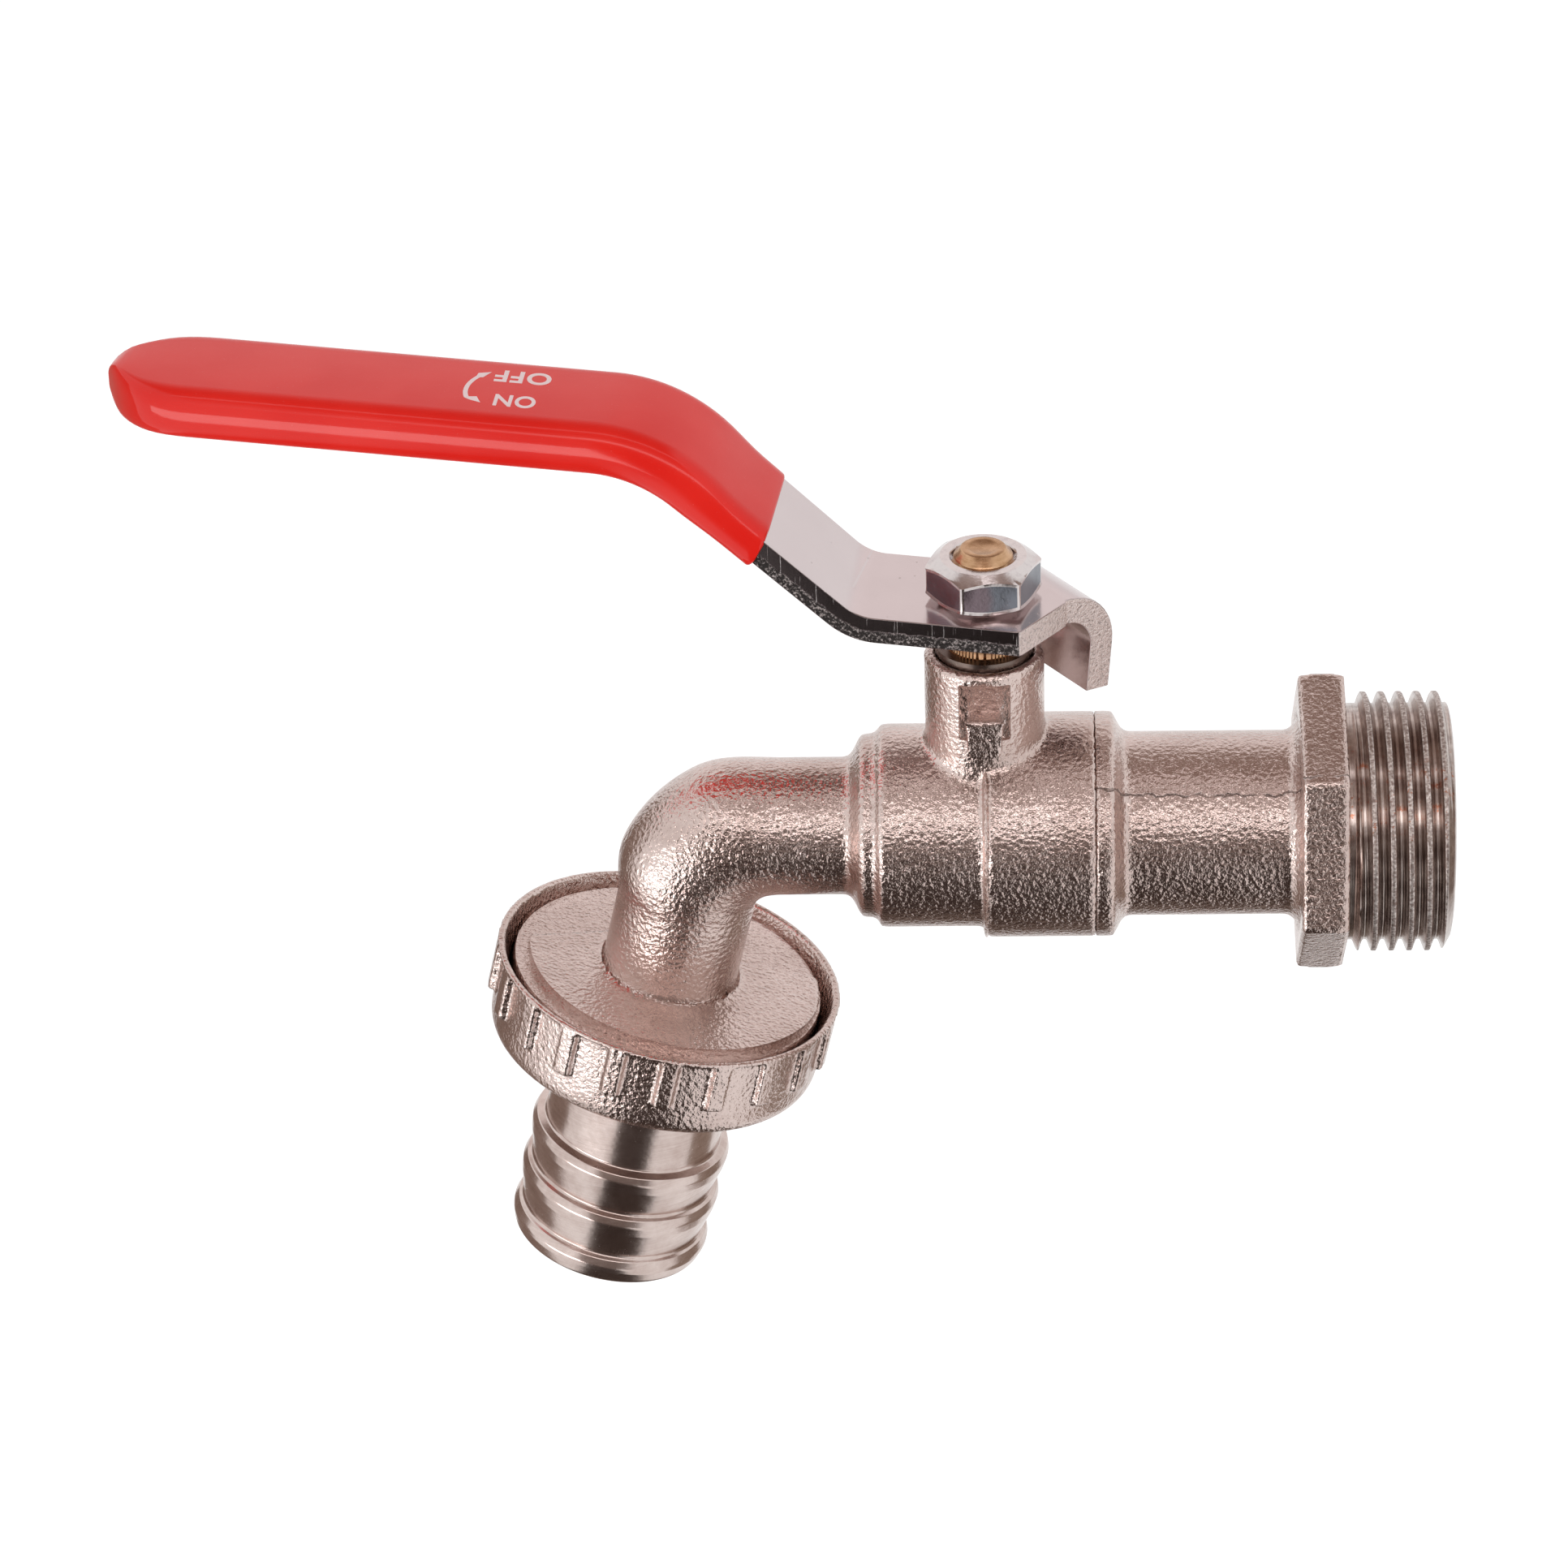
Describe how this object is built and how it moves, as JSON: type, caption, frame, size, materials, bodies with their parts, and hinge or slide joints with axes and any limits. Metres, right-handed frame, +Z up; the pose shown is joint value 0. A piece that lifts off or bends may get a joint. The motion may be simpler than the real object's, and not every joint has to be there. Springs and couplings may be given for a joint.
{
  "type": "lever ball valve bib tap",
  "caption": "Quarter-turn lever tap: male threaded inlet, housing round a ball, curved spout, and a ribbed union nut that holds a barbed hose tail.",
  "frame": {"origin": "on the inlet axis, where the male inlet thread starts at its full diameter, behind the end of the pipe that it screws into", "axes": "+X out of the inlet along the waterway, +Z up along the stem, +Y to the back of the tap as the picture shows it; the spout is at -X and its outlet leans 13.2 degrees towards -X as it goes down"},
  "size_m": [0.1361, 0.0423, 0.097],
  "materials": {
    "forged_nickel": "nickel plated, shot blasted",
    "turned_nickel": "nickel plated, turned and shot blasted",
    "nut_nickel": "nickel plated, shot blasted",
    "tail_nickel": "nickel plated, polished",
    "stem_brass": "turned, bare",
    "ball_chrome": "chrome plated, polished",
    "lever_steel": "nickel plated, polished",
    "zinc_steel": "zinc plated, bright",
    "red_vinyl": "glossy dipped vinyl",
    "ptfe": "waxy white",
    "black_rubber": "matt"
  },
  "bodies": {
    "tap_body": {"valve_body": "forged_nickel", "inlet_connector": "turned_nickel", "body_seal": "ptfe", "outlet_seat": "ptfe", "inlet_seat": "ptfe", "thrust_washer": "ptfe", "packing_lower": "ptfe", "packing_upper": "ptfe", "gland_nut": "stem_brass"},
    "lever_set": {"ball": "ball_chrome", "stem": "stem_brass", "stem_o_ring": "black_rubber", "lever": "lever_steel", "grip_sleeve": "red_vinyl", "lever_nut": "zinc_steel"},
    "washer_carrier": {"hose_washer": "black_rubber"},
    "union": {"union_nut": "nut_nickel"},
    "tail": {"hose_tail": "tail_nickel"}
  },
  "joints": [
    {"name": "lever_turn", "type": "hinge", "parent": "tap_body", "child": "lever_set", "pos_m": [-0.0377, 0, 0], "axis": [0, 0, 1], "range_deg": [-78, 12]},
    {"name": "union_slide", "type": "slide", "parent": "tap_body", "child": "washer_carrier", "axis": [-0.2283, 0, -0.9736], "range_m": [0, 0.00462]},
    {"name": "union_turn", "type": "hinge", "parent": "washer_carrier", "child": "union", "pos_m": [-0.07117, 0, -0.01947], "axis": [-0.2283, 0, -0.9736], "range_deg": [0, 720]},
    {"name": "tail_swivel", "type": "hinge", "parent": "washer_carrier", "child": "tail", "pos_m": [-0.07573, 0, -0.03894], "axis": [-0.2283, 0, -0.9736], "continuous": true}
  ],
  "couplings": [
    {"joint": "union_slide", "follows": "union_turn", "m_per_rad": 0.00036749}
  ]
}
